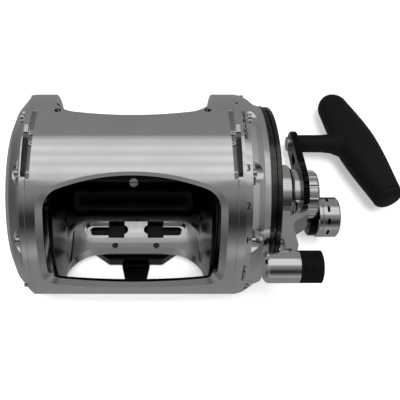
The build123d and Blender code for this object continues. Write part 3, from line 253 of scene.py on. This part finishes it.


# The second colour of each metal is its edges' painted highlight and wear.
finishes = {
    # painted shade: the floors of the frame's harness pockets are coloured dark grey
    "silver_frame": turned_metal("silver_frame", grey(0.80), grey(0.95), 0.15,
                                 shade=(lug_pocket_painted_shade, grey(0.22, 0.06))),
    "silver_plates": turned_metal("silver_plates", grey(0.80), grey(0.95), 0.15),
    "silver_trim": turned_metal("silver_trim", grey(0.82), grey(0.95), 0.14),
    "collar": turned_metal("collar", grey(0.80), grey(0.95), 0.15, crank_axis,
                           shade=(collar_slot, grey(0.01))),
    "chromed_barrel": turned_metal("chromed_barrel", grey(0.84, 0.02), grey(0.95), 0.07, knob_axis, 0.03),
    "black_anodised": turned_metal("black_anodised", grey(0.014), grey(0.06), 0.18, groove=0.04),
    "gunmetal": turned_metal("gunmetal", grey(0.085, 0.08), grey(0.42, 0.03), 0.17, groove=0.05),
    "black_rubber": moulded("black_rubber", grey(0.004), 0.5, 1500.0, 0.2, Specular_IOR_Level=0.15),
    "black_plastic": moulded("black_plastic", grey(0.005), 0.35, 900.0, 0.12),
    "carbon": moulded("carbon", grey(0.02), 0.45, 700.0, 0.3),
    "steel": turned_metal("steel", grey(0.52), grey(0.7), 0.25),
    "bearing_steel": turned_metal("bearing_steel", grey(0.60), grey(0.8), 0.16),
    "bronze": turned_metal("bronze", [0.55, 0.34, 0.14, 1.0], [0.75, 0.5, 0.25, 1.0], 0.25),
    "screws": turned_metal("screws", grey(0.62), grey(0.85), 0.18),
    "line_screw": turned_metal("line_screw", grey(0.9), grey(0.95), 0.5),
}
slots = {part["node"]: part["material_slot"] for part in frame["record"]["subparts"]}
slots["shift_collar"] = "collar"
slots["line_tie_screw"] = "line_screw"
slots["foot_screws"] = "gunmetal"   # painted shade: they take the darker gunmetal finish because they lie in the dark, at the bottom of their holes
for name, piece in nodes.items():
    piece.data.materials.clear()
    piece.data.materials.append(finishes[slots[name]])

# ---- Drag scale ----------------------------------------------------------------------------------
ink = moulded("scale_ink", grey(0.004), 0.6, 1200.0, 0.1, Specular_IOR_Level=0.2)
scale_x = 70.6 * MM
ink_height = 0.03 * MM


def mark(name, word, clock, size):
    """A letter or figure lying on the rim of the right side plate, upright for the angler."""
    text = bpy.data.curves.new(name, "FONT")
    text.body, text.size, text.align_x, text.align_y = word, size, "CENTER", "CENTER"
    flat = bpy.data.objects.new(name + "_flat", text)
    bpy.context.scene.collection.objects.link(flat)
    bpy.context.view_layer.update()
    mesh = bpy.data.meshes.new_from_object(flat)
    bpy.data.objects.remove(flat)
    form = bmesh.new()
    form.from_mesh(mesh)
    bmesh.ops.triangulate(form, faces=form.faces)
    bmesh.ops.subdivide_edges(form, edges=form.edges, cuts=2)
    for vertex in form.verts:
        turn = math.radians(clock) + vertex.co.y / ring_radius
        reach = ring_radius + ink_height
        vertex.co = Vector((scale_x + vertex.co.x, spool_axis[0] - reach * math.cos(turn),
                            spool_axis[1] + reach * math.sin(turn)))
    form.to_mesh(mesh)
    form.free()
    piece = bpy.data.objects.new(name, mesh)
    bpy.context.scene.collection.objects.link(piece)
    mesh.materials.clear()
    mesh.materials.append(ink)
    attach(piece, "root")
    return piece


def stacked_word(name, word, start, end, size):
    """A word whose letters stand one under another, from one clock angle to another."""
    for i, letter in enumerate(word):
        mark(f"{name}_{i + 1}", letter, start + (end - start) * (i + 0.5) / len(word), size)


letter_size, figure_size = 4.8 * MM, 6.0 * MM
stacked_word("scale_strike", "STRIKE", 108.5, 88.0, letter_size)
for figure, clock in (("3", 72.0), ("2", 53.0), ("1", 35.0)):
    mark("scale_" + figure, figure, clock, figure_size)
stacked_word("scale_free", "FREE", 19.0, 6.5, letter_size)


# ---- Floor and light -----------------------------------------------------------------------------
bpy.context.scene.view_settings.view_transform = "Standard"

floor_mesh = bpy.data.meshes.new("floor")
floor_reach = 6.0
floor_corners = [(-floor_reach, -floor_reach, 0), (floor_reach, -floor_reach, 0),
                 (floor_reach, floor_reach, 0), (-floor_reach, floor_reach, 0)]
floor_mesh.from_pydata(floor_corners, [], [(0, 1, 2, 3)])
floor = bpy.data.objects.new("floor", floor_mesh)
bpy.context.scene.collection.objects.link(floor)
floor.location.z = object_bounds()[0].z - 0.5 * MM
floor_paint, _, floor_shader = new_material("floor", Roughness=0.9, Specular_IOR_Level=0.0,
                                            Emission_Strength=0.35)
floor_shader.inputs["Base Color"].default_value = grey(0.85)
floor_shader.inputs["Emission Color"].default_value = grey(1.0)
floor_mesh.materials.append(floor_paint)
floor.visible_glossy = False

# The room that the metal mirrors: plain grey all round, a row of strip lights overhead, a low lamp in front
# and a dark gap behind the camera. To the sides it is plain, darker below and lighter above. Clocks, widths
# and edges are in degrees, and levels are linear.
room_level = 0.24
side_low, side_high = 0.08, 0.50
gap_clock, gap_half, gap_edge, gap_level = 30, 6, 24, 0.03
lamp_clock, lamp_half, lamp_edge, lamp_level = -8, 3, 9, 0.36
strips_clock, strips_half, strips_edge = 98, 20, 8
strip_pitch, strip_level, strip_swing = 12, 0.75, 0.15

world = bpy.data.worlds.new("room")
bpy.context.scene.world = world
world.use_nodes = True
sky = world.node_tree
sky_parts = add(sky, "SeparateXYZ", Vector=add(sky, "TexCoord").outputs["Generated"])
clock_turn = calc(sky, "ARCTAN2", sky_parts.outputs["Z"], calc(sky, "MULTIPLY", sky_parts.outputs["Y"], -1.0))
clock_degrees = calc(sky, "MULTIPLY", clock_turn, 180 / math.pi)


def light_patch(base, clock, half, edge, level):
    """Lays a patch of the room over a base level, full to its half width and fading out over its edge."""
    away = calc(sky, "ABSOLUTE", calc(sky, "SUBTRACT", clock_degrees, clock))
    return blend_colours(sky, spread(sky, away, half, half + edge, 0.0, 1.0), level, base)


from_middle = calc(sky, "SUBTRACT", clock_degrees, strips_clock)
strip_turn = calc(sky, "MULTIPLY", from_middle, 2 * math.pi / strip_pitch)
strips = calc(sky, "MULTIPLY_ADD", calc(sky, "COSINE", strip_turn), strip_swing, strip_level)
room_light = light_patch(grey(room_level), gap_clock, gap_half, gap_edge, grey(gap_level))
room_light = light_patch(room_light, lamp_clock, lamp_half, lamp_edge, grey(lamp_level))
room_light = light_patch(room_light, strips_clock, strips_half, strips_edge, strips)
sideways = calc(sky, "ABSOLUTE", sky_parts.outputs["X"])
to_side = spread(sky, sideways, 0.55, 0.95, 0.0, 1.0)
side_light = blend_colours(sky, spread(sky, sky_parts.outputs["Z"], -0.3, 0.45, 0.0, 1.0),
                           grey(side_low), grey(side_high))
room_light = blend_colours(sky, to_side, room_light, side_light)
feed(sky, sky.nodes["Background"].inputs["Color"], room_light)


def area_light(name, clock, x, distance, size, power, glossy):
    """A square soft box that faces the spool axis."""
    lamp = bpy.data.lights.new(name, "AREA")
    lamp.size, lamp.energy = size, power
    made = bpy.data.objects.new(name, lamp)
    bpy.context.scene.collection.objects.link(made)
    turn = math.radians(clock)
    made.location = (x, spool_axis[0] - distance * math.cos(turn), spool_axis[1] + distance * math.sin(turn))
    aim = Vector((camera_x, *spool_axis)) - made.location
    made.rotation_euler = aim.to_track_quat("-Z", "Y").to_euler()
    made.visible_glossy = glossy
    return made


area_light("key", 68, 0.05, 1.6, 0.5, 26, False)
